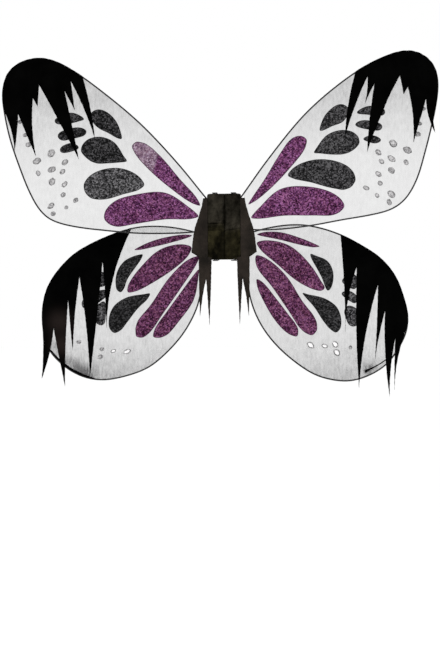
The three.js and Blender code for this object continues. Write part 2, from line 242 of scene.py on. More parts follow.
def mottleGroup():
    tree, given, put = makeGroup(
        "softMottle",
        [
            ("Scale", "NodeSocketFloat", 40),
            ("Dark", "NodeSocketColor", (0, 0, 0, 1)),
            ("Light", "NodeSocketColor", (0, 0, 0, 1)),
        ],
        [("Color", "NodeSocketColor"), ("Value", "NodeSocketFloat")],
    )
    place = add(tree, "TexCoord").outputs["Object"]
    inputs = {"Vector": place, "Scale": given.outputs["Scale"], "Detail": 4, "Roughness": 0.6}
    broad = add(tree, "TexNoise", inputs)
    value = spread(tree, broad.outputs[0], *noiseRange, 0, 1)
    tree.links.new(mixColor(tree, value, given.outputs["Dark"], given.outputs["Light"]), put.inputs["Color"])
    tree.links.new(value, put.inputs["Value"])
    return tree


glitterFlakes = glitterGroup(glitterLook)
clothWeave = weaveGroup(clothLook)
softMottle = mottleGroup()


def newMaterial(name, **constants):
    material = bpy.data.materials.new(name)
    material.use_nodes = True
    tree = material.node_tree
    shader = tree.nodes["Principled BSDF"]
    for key, value in constants.items():
        shader.inputs[key.replace("_", " ")].default_value = value
    return material, tree, shader


def bump(tree, shader, height, distance, strength=1):
    node = add(tree, "Bump", {"Height": height, "Distance": distance, "Strength": strength})
    tree.links.new(node.outputs[0], shader.inputs["Normal"])


def clothMaterial(name, dark, light, threads, scale, specular=0.1, marks=()):
    look = clothLook
    material, tree, shader = newMaterial(name, Roughness=look["roughness"], Specular_IOR_Level=specular)
    place = add(tree, "TexCoord").outputs["Object"]
    tone = useGroup(tree, softMottle, {"Scale": scale, "Dark": dark, "Light": light})
    weave = useGroup(tree, clothWeave, {"Threads": threads, "Coordinates": place})
    between = spread(tree, weave.outputs["Thread"], 0, 1, look["threadShade"], 0)
    shade = mixColor(tree, between, tone.outputs["Color"], dark)
    for attribute, color, blend in marks:
        share = add(tree, "Attribute", attribute_name=attribute).outputs["Fac"]
        shade = mixColor(tree, share, shade, color, blend)
    tree.links.new(shade, shader.inputs["Base Color"])
    bump(tree, shader, weave.outputs["Height"], look["bump"], look["bumpStrength"])
    return material


def glitterNode(tree, shades, flakeScale, strength=1):
    inputs = {"Flakes": flakeScale, "Grains": glitterLook["grains"]}
    for key, (red, green, blue) in zip(("Dark", "Middle", "Light"), shades):
        inputs[key] = (red * strength, green * strength, blue * strength, 1)
    return useGroup(tree, glitterFlakes, inputs)


def glitterMaterial(name, shades, flakeScale, metallic=0.25, strength=1, paleEnd=None):
    material, tree, shader = newMaterial(name, Metallic=metallic, Specular_IOR_Level=glitterLook["specular"])
    flakes = glitterNode(tree, shades, flakeScale, strength)
    color = flakes.outputs["Color"]
    if paleEnd:
        # Paler beyond a slanting line
        place = add(tree, "TexCoord").outputs["Object"]
        beyond = add(tree, "VectorMath", {0: place, 1: paleEnd["way"]}, operation="DOT_PRODUCT").outputs["Value"]
        share = spread(tree, beyond, paleEnd["from"], paleEnd["to"], 0, 1)
        paler = glitterNode(tree, paleEnd["shades"], flakeScale)
        color = mixColor(tree, share, color, paler.outputs["Color"])
    tree.links.new(color, shader.inputs["Base Color"])
    tree.links.new(flakes.outputs["Roughness"], shader.inputs["Roughness"])
    tree.links.new(flakes.outputs["Normal"], shader.inputs["Normal"])
    return material


def paintMaterial(name, dark, light, roughness, specular=0.5):
    material, tree, shader = newMaterial(name, Specular_IOR_Level=specular)
    look = paintLook
    tone = useGroup(tree, softMottle, {"Scale": look["scale"], "Dark": dark, "Light": light})
    rough = spread(tree, tone.outputs["Value"], 0, 1, roughness, roughness + look["spread"])
    tree.links.new(tone.outputs["Color"], shader.inputs["Base Color"])
    tree.links.new(rough, shader.inputs["Roughness"])
    bump(tree, shader, tone.outputs["Value"], look["bump"], look["bumpStrength"])
    return material


def sheerMaterial(look):
    # The cloth's cover comes from its "tone" mark, shared between the front and back of its wall
    material, tree, shader = newMaterial("sheerNet", Roughness=look["roughness"])
    place = add(tree, "TexCoord").outputs["Object"]
    tone = useGroup(tree, softMottle, {"Scale": look["scale"], "Dark": look["dark"], "Light": look["light"]})
    long = add(tree, "Mapping", {"Vector": place, "Scale": look["streak"]}).outputs[0]
    streaks = add(tree, "TexNoise", {"Vector": long, "Scale": look["streakScale"], "Detail": 3})
    weave = useGroup(tree, clothWeave, {"Threads": look["threads"], "Coordinates": place})
    # How dense the net is drawn, from its 'tone' mark
    netDensity = add(tree, "Attribute", attribute_name="tone").outputs["Fac"]
    uneven = spread(tree, streaks.outputs[0], *noiseRange, *look["uneven"])
    cloudy = spread(tree, tone.outputs["Value"], 0, 1, *look["cloudy"])
    thread = spread(tree, weave.outputs["Thread"], 0, 1, *look["thread"])
    covered = calc(tree, "MULTIPLY", calc(tree, "MULTIPLY", uneven, cloudy), thread)
    both = calc(tree, "SUBTRACT", 1, calc(tree, "MULTIPLY", netDensity, covered))
    alpha = calc(tree, "SUBTRACT", 1, calc(tree, "POWER", both, 0.5))
    tree.links.new(tone.outputs["Color"], shader.inputs["Base Color"])
    tree.links.new(alpha, shader.inputs["Alpha"])
    return material


purpleShades = [(0.01, 0.001, 0.0075), (0.092, 0.0215, 0.072), (0.3, 0.115, 0.26)]
purpleDeepShades = [(0.0075, 0.0007, 0.0052), (0.071, 0.0165, 0.0495), (0.235, 0.089, 0.178)]
purplePaleEnd = {
    "way": (0.96, 0, -0.278),
    "from": -0.1565,
    "to": -0.1615,
    "shades": [(0.075, 0.04, 0.067), (0.2, 0.122, 0.176), (0.42, 0.33, 0.4)],
}
charcoalShades = [(0.0008, 0.0008, 0.0008), (0.0255, 0.025, 0.0264), (0.168, 0.164, 0.171)]
charcoalDimShades = [(0.0003, 0.0003, 0.0003), (0.0066, 0.0065, 0.0068), (0.079, 0.077, 0.081)]
silverShades = [(0.15, 0.147, 0.15), (0.34, 0.334, 0.338), (0.58, 0.57, 0.575)]
silverBrightShades = [(0.62, 0.61, 0.615), (0.75, 0.74, 0.745), (0.88, 0.87, 0.875)]
silverEdgeShades = [(0.09, 0.088, 0.09), (0.21, 0.207, 0.21), (0.46, 0.452, 0.457)]
# Lighter spots on the black cloth
lighterSpotsMark = ("lighterSpots", (0.0175, 0.013, 0.0118, 1), "MIX")
oliveMark = ("low", (1, 0.97, 0.6, 1), "MULTIPLY")
# Painted shade and painted light on the cover: its colour goes to this dark olive where the 'fold' mark is
# high
paintedShadeMark = ("fold", (0.0014, 0.0011, 0.0003, 1), "MIX")

wireCoat = paintMaterial(
    "wireCoat", (0.004, 0.004, 0.0042, 1), (0.011, 0.0105, 0.011, 1), roughness=0.4, specular=0.25
)
sheerNet = sheerMaterial(sheerLook)
purpleGlitter = glitterMaterial("purpleGlitter", purpleShades, flakeScale=450)
purpleGlitterPaleEnd = glitterMaterial("purpleGlitterPaleEnd", purpleShades, flakeScale=450, paleEnd=purplePaleEnd)
purpleGlitterDeep = glitterMaterial("purpleGlitterDeep", purpleDeepShades, flakeScale=450)
purpleEdge = paintMaterial(
    "purpleEdge", (0.022, 0.005, 0.017, 1), (0.05, 0.013, 0.038, 1), roughness=0.5, specular=0.1
)
charcoalGlitter = glitterMaterial("charcoalGlitter", charcoalShades, flakeScale=440, strength=0.65)
charcoalGlitterBright = glitterMaterial(
    "charcoalGlitterBright", charcoalShades, flakeScale=440, strength=1.12
)
charcoalGlitterDim = glitterMaterial("charcoalGlitterDim", charcoalDimShades, flakeScale=430)
charcoalGlitterDeep = glitterMaterial("charcoalGlitterDeep", charcoalShades, flakeScale=440, strength=0.32)
charcoalEdge = paintMaterial(
    "charcoalEdge", (0.002, 0.002, 0.002, 1), (0.006, 0.006, 0.0065, 1), roughness=0.5, specular=0.2
)
silverGlitter = glitterMaterial("silverGlitter", silverShades, flakeScale=380, metallic=0)
silverBright = glitterMaterial("silverBright", silverBrightShades, flakeScale=600, metallic=0)
silverEdge = glitterMaterial("silverEdge", silverEdgeShades, flakeScale=320, metallic=0)
blackCloth = clothMaterial(
    "blackCloth",
    (0.0003, 0.0003, 0.0003, 1),
    (0.0014, 0.0014, 0.0013, 1),
    threads=1100,
    scale=30,
    specular=0.008,
    marks=[lighterSpotsMark],
)
coverCloth = clothMaterial(
    "coverCloth",
    (0.0105, 0.0091, 0.0066, 1),
    (0.043, 0.038, 0.028, 1),
    threads=700,
    scale=45,
    specular=0.04,
    marks=[oliveMark, paintedShadeMark],
)
sideCloth = clothMaterial(
    "sideCloth", (0.007, 0.0055, 0.0042, 1), (0.025, 0.019, 0.015, 1), threads=800, scale=35
)
stitchThread = paintMaterial(
    "stitchThread", (0.004, 0.0037, 0.003, 1), (0.01, 0.009, 0.008, 1), roughness=0.8, specular=0.1
)
print("materials made")

# Mesh helpers

meshing = {
    "weld": 2e-6,
    "tiny": 1e-6,
    # An outer face's normal has less depth than this
    "facing": -0.01,
    "faceBend": math.radians(35),
    "shapeBend": math.radians(60),
    "roundAndBack": (0.5, -0.53),
    "mostRoom": 0.2,
}


def copyNode(nodeName):
    bm = bmesh.new()
    bm.from_mesh(nodes[nodeName].data)
    bmesh.ops.remove_doubles(bm, verts=bm.verts, dist=meshing["weld"])
    bm.normal_update()
    return bm


def joinFacets(bm):
    bmesh.ops.join_triangles(
        bm,
        faces=bm.faces[:],
        angle_face_threshold=meshing["faceBend"],
        angle_shape_threshold=meshing["shapeBend"],
    )


def flatOuter(nodeName, place):
    # The node's outer face as one flat polygon in its wing's plane
    bm = copyNode(nodeName)
    bmesh.ops.transform(bm, matrix=place.inverted(), verts=bm.verts)
    bm.normal_update()
    hidden = [face for face in bm.faces if face.normal.y > meshing["facing"]]
    bmesh.ops.delete(bm, geom=hidden, context="FACES")
    bmesh.ops.scale(bm, vec=(1, 0, 1), verts=bm.verts)
    bmesh.ops.dissolve_faces(bm, faces=bm.faces[:])
    return bm


def cutEdges(bm, longest):
    for edge in bm.edges[:]:
        cuts = int(edge.calc_length() / longest)
        if cuts:
            bmesh.ops.subdivide_edges(bm, edges=[edge], cuts=cuts)


def roundOutline(bm, verts, rounds):
    # Rounds off facets: each smoothing step is followed by one that takes back its shrinking
    for factor in meshing["roundAndBack"] * rounds:
        bmesh.ops.smooth_vert(bm, verts=verts, factor=factor, use_axis_x=True, use_axis_z=True)


def outlineMoves(bm):
    # The way outwards in the plane at each point of a flat polygon's outline
    moves = {}
    face = bm.faces[:][0]
    face.normal_update()
    for corner in face.loops:
        before = (corner.vert.co - corner.link_loop_prev.vert.co).normalized()
        after = (corner.link_loop_next.vert.co - corner.vert.co).normalized()
        moves[corner.vert] = (before + after).normalized().cross(face.normal)
    return moves


def outlineRoom(bm):
    # Each point of a flat outline, its way outwards, and how wide the panel is there
    corners = list(outlineMoves(bm).items())
    points = [Vector((vert.co.x, vert.co.z)) for vert, way in corners]
    found = []
    for i, (vert, way) in enumerate(corners):
        inwards = Vector((-way.x, -way.z))
        room = meshing["mostRoom"]
        start, end = points[i] + inwards * meshing["tiny"], points[i] + inwards * room
        for j in range(len(points)):
            if i in (j, (j + 1) % len(points)):
                continue
            hit = geometry.intersect_line_line_2d(start, end, points[j], points[(j + 1) % len(points)])
            if hit is not None:
                room = min(room, (hit - start).length)
        found.append((vert.co.copy(), way, room))
    return found


def cutGrid(bm, cell):
    for axis in (0, 2):
        low = min(vert.co[axis] for vert in bm.verts)
        high = max(vert.co[axis] for vert in bm.verts)
        count = math.ceil((high - low) / cell)
        for i in range(1, count):
            point, normal = Vector(), Vector()
            point[axis] = low + (high - low) * i / count
            normal[axis] = 1
            geom = bm.verts[:] + bm.edges[:] + bm.faces[:]
            bmesh.ops.bisect_plane(bm, geom=geom, dist=meshing["tiny"], plane_co=point, plane_no=normal)


def clamp(value):
    return min(1, max(0, value))


def bell(value, width):
    # 1 where the value is 0, falling to 0 on both sides
    return math.exp(-((value / width) ** 2))


def spotShare(co, out, up, reach):
    # 1 in the middle of a spot on a wing, falling to 0 around it; out, up and reach in millimetres
    return bell(math.hypot(abs(co.x) * 1000 - out, co.z * 1000 - up), reach)


def flatSize(bm):
    spans = []
    for axis in (0, 2):
        along = [vert.co[axis] for vert in bm.verts]
        spans.append(max(along) - min(along))
    return tuple(spans), sum(face.calc_area() for face in bm.faces)


def makePiece(name, bm, materials, replaced=()):
    bmesh.ops.recalc_face_normals(bm, faces=bm.faces[:])
    for face in bm.faces:
        face.smooth = True
    mesh = bpy.data.meshes.new(name)
    bm.to_mesh(mesh)
    bm.free()
    for material in materials:
        mesh.materials.append(material)
    piece = addObject(name, mesh)
    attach(piece, "root")
    if replaced:
        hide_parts(*replaced)
    return piece


def thicken(piece, thickness):
    wall = piece.modifiers.new("wall", "SOLIDIFY")
    wall.thickness = thickness
    wall.offset = 0
    wall.use_even_offset = False


def soften(piece, levels):
    rounding = piece.modifiers.new("rounding", "SUBSURF")
    rounding.levels = levels
    rounding.render_levels = levels


# Wings: each is drawn flat and put in place by its sweep, lift and height, as in the solids

hinge = {"out": 0.030, "depth": -0.007}
wings = {
    "forewing_left": {"side": -1, "sweep": 10, "lift": 0, "tall": 1},
    "forewing_right": {"side": 1, "sweep": 10, "lift": 2.9, "tall": 0.97},
    "hindwing_left": {"side": -1, "sweep": 1.5, "lift": 0, "tall": 1},
    "hindwing_right": {"side": 1, "sweep": 1.5, "lift": 0, "tall": 1.025},
}


def wingPlace(side, sweep, lift, tall):
    swing = Matrix.Translation((side * hinge["out"], hinge["depth"], 0))
    swing = swing @ Matrix.Rotation(-side * math.radians(sweep), 4, "Z")
    back = Matrix.Translation((-side * hinge["out"], 0, 0))
    lifted = swing @ back @ Matrix.Rotation(-side * math.radians(lift), 4, "Y")
    return lifted @ Matrix.Diagonal((1, 1, tall, 1))


# Wires: the bent rim as a smooth round rod

wire = {"grow": 0.00045, "levels": 2}


def makeWire(name):
    bm = copyNode(f"{name}_wire")
    joinFacets(bm)
    bm.normal_update()
    for vert in bm.verts:
        vert.co += vert.normal * wire["grow"]
    piece = makePiece(f"{name}_rim", bm, [wireCoat], [f"{name}_wire"])
    soften(piece, wire["levels"])
    return piece


# Sheer cloth: pulled to the wire all round, a little slack between

sheer = {
    "hem": 0.0014,
    "edgeStep": 0.004,
    "rootStays": 0.008,
    "roundings": 8,
    "grid": 0.009,
    "slack": 0.0006,
    "waveScale": 22,
    "waveSeed": 3.1,
    "thickness": 0.00025,
    "darkest": 0.9,
    "forewing": {"alpha": 0.2, "deep": 0.42, "from": 0.06, "to": 0.24},
    "hindwing": {"alpha": 0.3, "deep": 0.55, "from": -0.17, "to": -0.285},
    # Darker places, a row each in millimetres: out, up, reach, and strength
    "marks": {
        "hindwing_left": [
            (329, -226, 12, 0.3),
            (305, -253, 13, 0.25),
            (284, -267, 16, 0.35),
            (263, -277, 13, 0.45),
        ],
        "hindwing_right": [(273, -266, 8, 0.45), (284, -261, 9, 0.25)],
    },
}


def makeSheer(name, wing):
    bm = flatOuter(f"{name}_sheer", wing["place"])
    cutEdges(bm, sheer["edgeStep"])
    root = min(abs(vert.co.x) for vert in bm.verts)
    free = [vert for vert in bm.verts if abs(vert.co.x) > root + sheer["rootStays"]]
    roundOutline(bm, free, sheer["roundings"])
    for vert, way in outlineMoves(bm).items():
        vert.co += way * sheer["hem"]
    size, area = flatSize(bm)
    cutGrid(bm, sheer["grid"])
    kind = sheer[name.split("_")[0]]
    # The net is drawn denser, so darker, higher up a forewing, lower down a hindwing, and at the listed
    # places
    tone = bm.verts.layers.float.new("tone")
    for vert in bm.verts:
        share = clamp((vert.co.z - kind["from"]) / (kind["to"] - kind["from"]))
        vert[tone] = kind["alpha"] + (kind["deep"] - kind["alpha"]) * share * share
        for out, up, reach, strength in sheer["marks"].get(name, []):
            darker = vert[tone] + strength * spotShare(vert.co, out, up, reach)
            vert[tone] = min(sheer["darkest"], darker)
        place = Vector((vert.co.x * sheer["waveScale"], sheer["waveSeed"], vert.co.z * sheer["waveScale"]))
        wave = noise.noise(place)
        vert.co.y = sheer["slack"] * (0.5 + 0.5 * wave)
    bmesh.ops.transform(bm, matrix=wing["place"], verts=bm.verts)
    piece = makePiece(f"{name}_net", bm, [sheerNet], [f"{name}_sheer"])
    thicken(piece, sheer["thickness"])
    return piece, size, area


# Glitter panels: a rounded patch with a dark painted edge and a low crown

panel = {
    "edgeStep": 0.004,
    "roundings": 8,
    # Rings from the outline inwards: how far, the largest share of the panel's width, and their lift
    "rings": [(0, 0, 0), (0.0012, 0.16, 0), (0.0032, 0.36, 0.0003)],
    "depth": -0.0011,
    "thickness": 0.0005,
    "paleEnd": "forewing_left_purple_upper",
    "bright": "forewing_left_charcoal_low",
}


def charcoalKind(nodeName):
    # The side panels and one forewing panel are the lightest
    if "side" in nodeName or nodeName == panel["bright"]:
        return charcoalGlitterBright
    if nodeName.startswith("hindwing"):
        return charcoalGlitterDeep
    return charcoalGlitterDim if "left" in nodeName else charcoalGlitter


def makePanel(nodeName, wing):
    flat = flatOuter(nodeName, wing["place"])
    cutEdges(flat, panel["edgeStep"])
    roundOutline(flat, flat.verts[:], panel["roundings"])
    corners = outlineRoom(flat)
    flat.free()
    bm = bmesh.new()
    rings = []
    for aside, share, lift in panel["rings"]:
        rings.append(
            [
                bm.verts.new(point - way * min(aside, share * room) + Vector((0, panel["depth"] - lift, 0)))
                for point, way, room in corners
            ]
        )
    for number, (outer, inner) in enumerate(zip(rings, rings[1:])):
        for i in range(len(corners)):
            after = (i + 1) % len(corners)
            face = bm.faces.new((outer[i], outer[after], inner[after], inner[i]))
            face.material_index = 1 if number == 0 else 0
    bm.faces.new(rings[-1])
    bmesh.ops.transform(bm, matrix=wing["place"], verts=bm.verts)
    if "purple" in nodeName:
        glitterKind = purpleGlitterDeep if nodeName.startswith("hindwing") else purpleGlitter
        finish = [purpleGlitterPaleEnd if nodeName == panel["paleEnd"] else glitterKind, purpleEdge]
    else:
        finish = [charcoalKind(nodeName), charcoalEdge]
    piece = makePiece(f"{nodeName}_patch", bm, finish, [nodeName])
    thicken(piece, panel["thickness"])
    return piece


# Silver dots: rings and spots of glitter

dots = {
    "depth": -0.0009,
    "grow": 1.05,
    "rim": 0.42,
    "rise": 0.0001,
    "thickness": 0.0002,
    "segments": 20,
    "uneven": 0.09,
    "lean": 8,
    # How many of a hindwing's first dots are bright; the rest are dull
    "bright": {"hindwing_left": 2, "hindwing_right": 4},
    # Dots, a row each in millimetres and degrees: out, up, half width, half height, turn
    "forewing_left": [
        (389, 201, 3.8, 3.4, 0),
        (379, 176, 4.2, 3.6, -10),
        (373, 158, 5.6, 4.6, -20),
        (330, 142, 8.2, 6.2, -45),
        (357, 127, 8.2, 5.8, -35),
        (304, 125, 6.8, 4.8, -40),
        (329, 111, 7.8, 5.2, -30),
        (309, 107, 6.0, 4.2, -40),
        (355, 104, 5.4, 4.0, 75),
        (329, 88, 7.4, 5.8, -50),
        (305, 83, 6.4, 4.2, -40),
        (308, 63, 5.0, 4.2, -45),
        (284, 53, 5.4, 4.0, -40),
        (331, 42, 7.0, 4.8, -35),
        (302, 39, 3.8, 3.4, -40),
        (327, 27, 4.8, 4.2, -30),
    ],
    "forewing_right": [
        (395, 202, 3.8, 3.4, 0),
        (386, 174, 4.2, 3.6, -10),
        (381, 154, 5.6, 4.6, -20),
        (334, 140, 8.4, 6.2, -40),
        (360, 125, 8.6, 5.8, -35),
        (305, 125, 6.6, 4.6, -40),
        (329, 111, 8.2, 5.0, -32),
        (310, 107, 5.6, 4.2, -35),
        (356, 102, 5.6, 4.4, -65),
        (328, 88, 7.0, 5.4, -50),
        (303, 83, 6.6, 4.4, -35),
        (305, 65, 5.0, 4.2, -50),
        (278, 58, 6.4, 4.0, -30),
        (325, 42, 8.4, 6.0, -45),
        (298, 42, 5.0, 3.6, -55),
        (320, 27, 6.2, 4.2, -65),
    ],
    "hindwing_left": [
        (188, -236, 7.4, 4.4, -25),
        (215, -235, 5.2, 3.4, -15),
        (237, -231, 4.4, 3.6, -30),
        (240, -246, 5.2, 4.0, -30),
        (281, -217, 4.4, 3.8, 0),
    ],
    "hindwing_right": [
        (164, -220, 7.6, 5.2, -35),
        (191, -222, 5.6, 4.2, -20),
        (211, -219, 6.8, 5.0, -55),
        (214, -234, 7.2, 5.2, -35),
        (240, -225, 3.4, 3.6, 0),
    ],
}


def dotFinish(name, number):
    # Which of a dot's finishes its middle has: silver, dull as its edge, or bright
    if name not in dots["bright"]:
        return 0
    return 2 if number < dots["bright"][name] else 1


def makeDots(name, wing):
    bm = bmesh.new()
    chance = random.Random(name)
    for number, (out, up, wide, tall, turn) in enumerate(dots[name]):
        made = bmesh.ops.create_circle(bm, cap_ends=True, segments=dots["segments"], radius=0.001)
        for vert in made["verts"]:
            vert.co *= 1 + chance.uniform(-dots["uneven"], dots["uneven"])
        size = Matrix.Diagonal((wide * dots["grow"], tall * dots["grow"], 1, 1))
        angle = chance.uniform(-dots["lean"], dots["lean"]) - wing["side"] * turn
        lean = Matrix.Rotation(math.radians(angle), 4, "Y")
        shift = Matrix.Translation((wing["side"] * out / 1000, dots["depth"], up / 1000))
        upright = Matrix.Rotation(math.pi / 2, 4, "X")
        bmesh.ops.transform(bm, matrix=shift @ lean @ upright @ size, verts=made["verts"])
        faces = [face for face in bm.faces if made["verts"][0] in face.verts]
        for face in faces:
            face.material_index = dotFinish(name, number)
        ring = bmesh.ops.inset_region(
            bm, faces=faces, thickness=dots["rim"] * tall / 1000, use_boundary=True, use_even_offset=True
        )
        for face in ring["faces"]:
            face.material_index = 1
        for vert in made["verts"]:
            vert.co.y += dots["rise"]
    bmesh.ops.transform(bm, matrix=wing["place"], verts=bm.verts)
    piece = makePiece(f"{name}_dots", bm, [silverGlitter, silverEdge, silverBright])
    thicken(piece, dots["thickness"])
    return piece


# Hem tape near the rim of a hindwing, a row each in millimetres: out, up, width

hem = {
    "depth": -0.0012,
    "thickness": 0.0005,
    "middleUp": -0.12,
    "cuts": 3,
    "roundings": 2,
    "hindwing_left": [
        (338, -232, 2.6),
        (319, -254, 3.6),
        (299, -270.5, 5.2),
        (280, -280.5, 5.8),
        (261, -286.8, 4.2),
        (250, -289, 2.2),
    ],
    "hindwing_right": [
        (316, -242, 2.6),
        (308, -249, 2.6),
        (296.5, -256.5, 2.6),
        (287, -262, 3),
        (278, -267, 5),
        (272.5, -270.3, 6.5),
        (268.5, -272.3, 2),
    ],
}


def makeHem(name, wing):
    bm = bmesh.new()
    rows = hem[name]
    line = [bm.verts.new((wing["side"] * out / 1000, hem["depth"], up / 1000)) for out, up, wide in rows]
    edges = [bm.edges.new(pair) for pair in zip(line, line[1:])]
    made = bmesh.ops.extrude_edge_only(bm, edges=edges)["geom"]
    moved = [item for item in made if isinstance(item, bmesh.types.BMVert)]
    for vert in moved:
        nearest = min(rows, key=lambda row: abs(row[0] / 1000 - abs(vert.co.x)))
        inwards = Vector((-vert.co.x, 0, hem["middleUp"] - vert.co.z)).normalized()
        vert.co += inwards * nearest[2] / 1000
    bmesh.ops.subdivide_edges(bm, edges=bm.edges[:], cuts=hem["cuts"], use_grid_fill=True)
    roundOutline(bm, bm.verts[:], hem["roundings"])
    bmesh.ops.transform(bm, matrix=wing["place"], verts=bm.verts)
    piece = makePiece(f"{name}_hem", bm, [blackCloth])
    thicken(piece, hem["thickness"])
    return piece


# Tattered cloth: ragged strips with soft folds that deepen downwards

tatters = {
    "depth": -0.0022,
    "edgeStep": 0.0032,
    "fray": 0.0003,
    "sewnWithin": 0.006,
    "sewnBend": 0.6,
    "sewnRoundings": 8,
    "grid": 0.006,
    "ripple": 0.006,
    "rippleLength": 0.046,
    "fullDrop": 0.15,
    "crease": 0.0012,
    "creaseLeast": 0.25,
    # Creases, a row each: how close across, seed, how close down, share
    "creases": [(85, 1.7, 14, 1), (190, 5.3, 30, 0.5)],
    "thickness": 0.0006,
    "lighterSpotsMost": 0.9,
    # Lighter places, a row each in millimetres: out, up, reach, and strength
    "lighterSpots": {"hindwing_left_tatters": [(318, -178, 21, 0.85), (314, -222, 19, 0.85)]},
}


def sewnEdge(bm, rim, place):
    # The points of a flat outline that run along the wire
    wirePoints = KDTree(len(rim.data.vertices))
    for vert in rim.data.vertices:
        flat = place.inverted() @ vert.co
        wirePoints.insert((flat.x, 0, flat.z), vert.index)
    wirePoints.balance()
    sewn = []
    for corner in bm.faces[:][0].loops:
        before = corner.vert.co - corner.link_loop_prev.vert.co
        after = corner.link_loop_next.vert.co - corner.vert.co
        apart = wirePoints.find((corner.vert.co.x, 0, corner.vert.co.z))[2]
        if apart < tatters["sewnWithin"] and before.angle(after) < tatters["sewnBend"]:
            sewn.append(corner.vert)
    return sewn


def foldCloth(bm, side, startDrop=None):
    # Pushes the cloth outwards in long folds and finer creases, more the further it hangs
    tops = {}
    column = tatters["grid"]
    for vert in bm.verts:
        key = round(vert.co.x / column)
        tops[key] = max(tops.get(key, vert.co.z), vert.co.z)
    for vert in bm.verts:
        out = side * vert.co.x
        top = tops[round(vert.co.x / column)] if startDrop is None else startDrop
        share = clamp((top - vert.co.z) / tatters["fullDrop"])
        fold = 0.5 + 0.5 * math.sin(2 * math.pi * out / tatters["rippleLength"])
        crease = 0
        for across, seed, down, part in tatters["creases"]:
            crease += part * noise.noise(Vector((out * across, seed, vert.co.z * down)))
        vert.co.y -= tatters["ripple"] * share * fold
        vert.co.y -= tatters["crease"] * (tatters["creaseLeast"] + share) * crease


def tuckOver(bm, side, tuck):
    # Moves the inner edge in front of the cover's side, and the corner below it upwards
    for vert in bm.verts:
        if abs(vert.co.x) < tuck["below"] and vert.co.z > tuck["above"]:
            vert.co.x -= side * tuck["by"]
        if abs(vert.co.x) < tuck["below"] and abs(vert.co.z - tuck["above"]) < tuck["corner"]:
            vert.co.z += tuck["up"]


def turnIn(bm, side, turned):
    # Folds the inner edge back along the cover's side, so that no light passes between them
    inner = [
        edge
        for edge in bm.edges
        if edge.is_boundary
        and all(
            turned["from"] < abs(vert.co.x) < turned["below"] and vert.co.z > turned["above"]
            for vert in edge.verts
        )
    ]
    length = sum(edge.calc_length() for edge in inner)
    for item in bmesh.ops.extrude_edge_only(bm, edges=inner)["geom"]:
        if isinstance(item, bmesh.types.BMVert):
            item.co.x = side * turned["out"]
            item.co.y = turned["depth"]
    for edge in inner:
        edge.smooth = False
    return length


def makeTatters(nodeName, side, place, depth, cloth, held, startDrop=None, tuck=None, turned=None):
    bm = flatOuter(nodeName, place)
    if tuck:
        tuckOver(bm, side, tuck)
    cutEdges(bm, tatters["edgeStep"])
    sewn = sewnEdge(bm, held, place) if startDrop is None else []
    roundOutline(bm, sewn, tatters["sewnRoundings"])
    smooth = set(sewn)
    chance = random.Random(nodeName)
    for vert, way in outlineMoves(bm).items():
        fray = chance.uniform(-1, 1) * tatters["fray"]
        if vert not in smooth:
            vert.co += way * fray
    size, area = flatSize(bm)
    cutGrid(bm, tatters["grid"])
    bmesh.ops.translate(bm, vec=(0, depth, 0), verts=bm.verts)
    lighterSpots = bm.verts.layers.float.new("lighterSpots")
    for out, up, reach, strength in tatters["lighterSpots"].get(nodeName, []):
        for vert in bm.verts:
            more = vert[lighterSpots] + strength * spotShare(vert.co, out, up, reach)
            vert[lighterSpots] = min(tatters["lighterSpotsMost"], more)
    foldCloth(bm, side, startDrop)
    bmesh.ops.transform(bm, matrix=place, verts=bm.verts)
    if turned:
        area += turned["wide"] * turnIn(bm, side, turned)
        size = (size[0] + turned["wide"], size[1])
    piece = makePiece(f"{nodeName}_cloth", bm, [cloth], [nodeName])
    thicken(piece, tatters["thickness"])
    return piece


for wingName, wing in wings.items():
    wing["place"] = wingPlace(**wing)
    rim = makeWire(wingName)
    net, size, area = makeSheer(wingName, wing)
    glitter = [
        makePanel(nodeName, wing)
        for nodeName in sorted(nodes)
        if nodeName.startswith(wingName) and ("purple" in nodeName or "charcoal" in nodeName)
    ]
    glitter.append(makeDots(wingName, wing))
    if wingName in hem:
        glitter.append(makeHem(wingName, wing))
    makeTatters(f"{wingName}_tatters", wing["side"], wing["place"], tatters["depth"], blackCloth, rim)
    print(wingName, "made")

# Centre cover: a stuffed cloth pad, sewn down its middle, with a folded flap over its lower half

